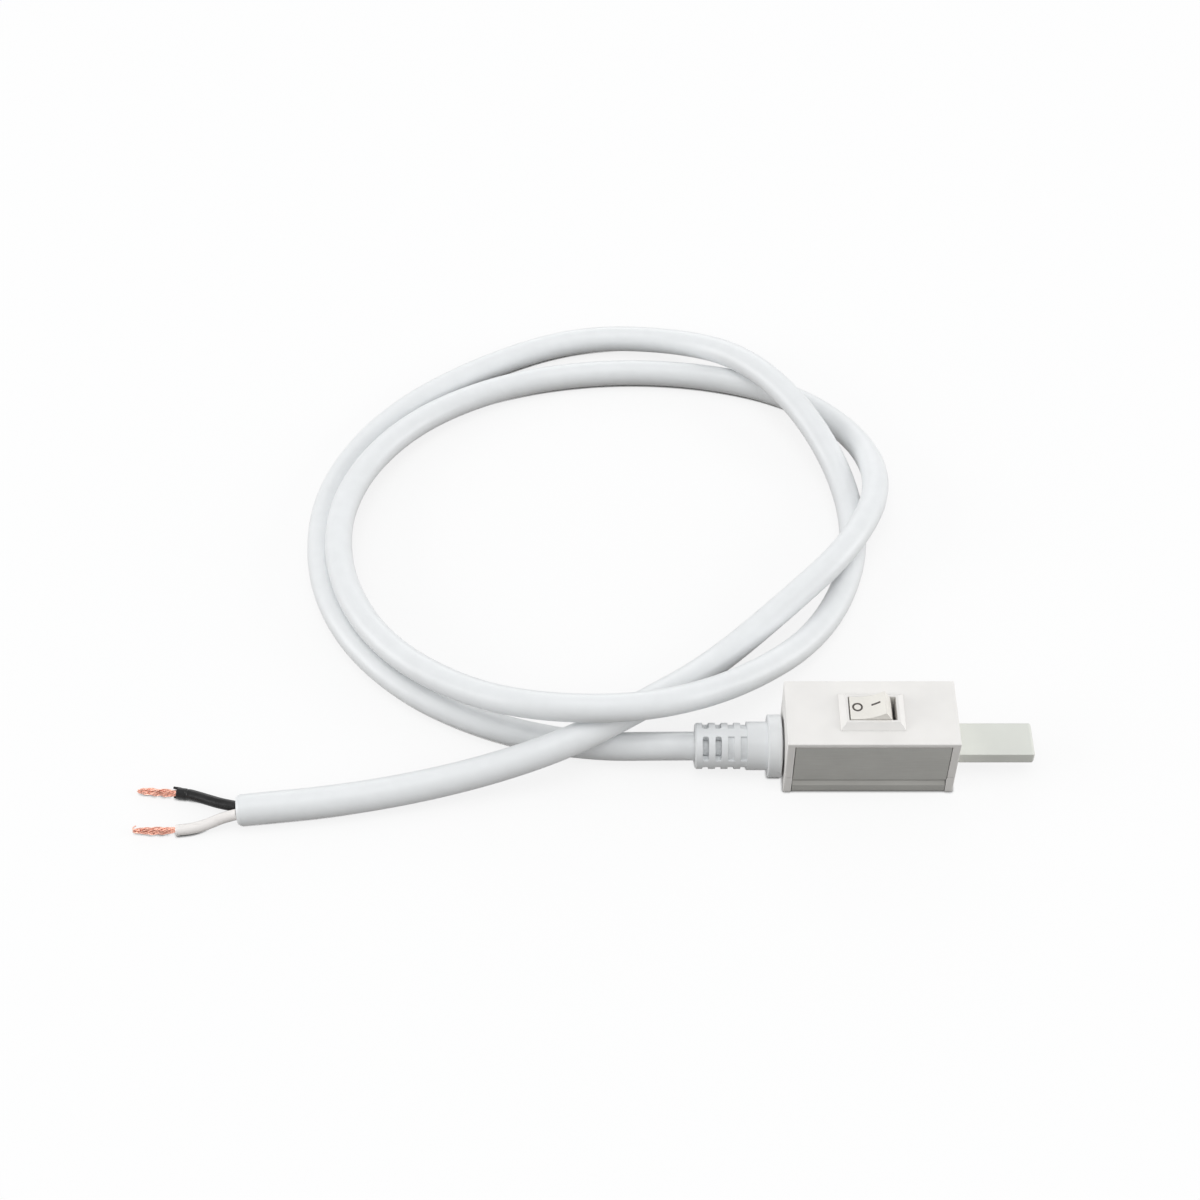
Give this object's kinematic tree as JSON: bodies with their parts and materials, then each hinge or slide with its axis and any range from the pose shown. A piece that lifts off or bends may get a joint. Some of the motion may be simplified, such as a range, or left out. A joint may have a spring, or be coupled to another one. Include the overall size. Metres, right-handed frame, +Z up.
{
  "type": "inline cord switch",
  "caption": "Inline rocker switch box in an aluminium channel with a clip groove, between a slotted strain relief with a jacketed cord, cut bare at its end, and a flat link plug.",
  "frame": {"origin": "middle of the box's underside, on the surface it lies on", "axes": "+Z up through the rocker, +X along the box towards the link plug, the cord leaves along -X"},
  "size_m": [0.2168, 0.1701, 0.0234],
  "materials": {
    "channel_aluminium": "satin extruded",
    "white_moulding": "fine matt moulding",
    "switch_plastic": "satin moulding",
    "rocker_plastic": "semi-gloss moulding",
    "plug_plastic": "satin moulding",
    "relief_plastic": "satin moulding",
    "cord_jacket": "satin soft jacket",
    "black_insulation": "slightly glossy insulation",
    "white_insulation": "slightly glossy insulation",
    "bare_copper": "bright drawn copper",
    "contact_brass": "stamped sheet",
    "contact_metal": "plated rivet",
    "screw_steel": "zinc plated"
  },
  "bodies": {
    "box": {"channel": "channel_aluminium", "base_tray": "white_moulding", "top_cover": "white_moulding", "cover_screws": "screw_steel", "switch_housing": "switch_plastic", "common_terminal": "contact_brass", "load_terminal": "contact_brass", "fixed_contact": "contact_metal", "link_plug": "plug_plastic", "line_contact": "contact_brass", "neutral_contact": "contact_brass", "strain_relief": "relief_plastic", "cord": "cord_jacket", "line_lead": "black_insulation", "neutral_lead": "white_insulation", "switched_lead": "black_insulation", "black_wire": "black_insulation", "black_strands": "bare_copper", "white_wire": "white_insulation", "white_strands": "bare_copper"},
    "rocker": {"rocker": "rocker_plastic", "plunger": "switch_plastic", "plunger_spring": "screw_steel"},
    "lever": {"contact_lever": "contact_brass", "moving_contact": "contact_metal"}
  },
  "joints": [
    {"name": "rocker_tilt", "type": "hinge", "parent": "box", "child": "rocker", "pos_m": [0, 0, 0.01765], "axis": [0, 1, 0], "range_deg": [0, 30]},
    {"name": "lever_tilt", "type": "hinge", "parent": "box", "child": "lever", "pos_m": [0, 0, 0.012], "axis": [0, 1, 0], "range_deg": [-12, 0]}
  ],
  "couplings": [
    {"joint": "lever_tilt", "follows": "rocker_tilt", "ratio": -0.4}
  ]
}
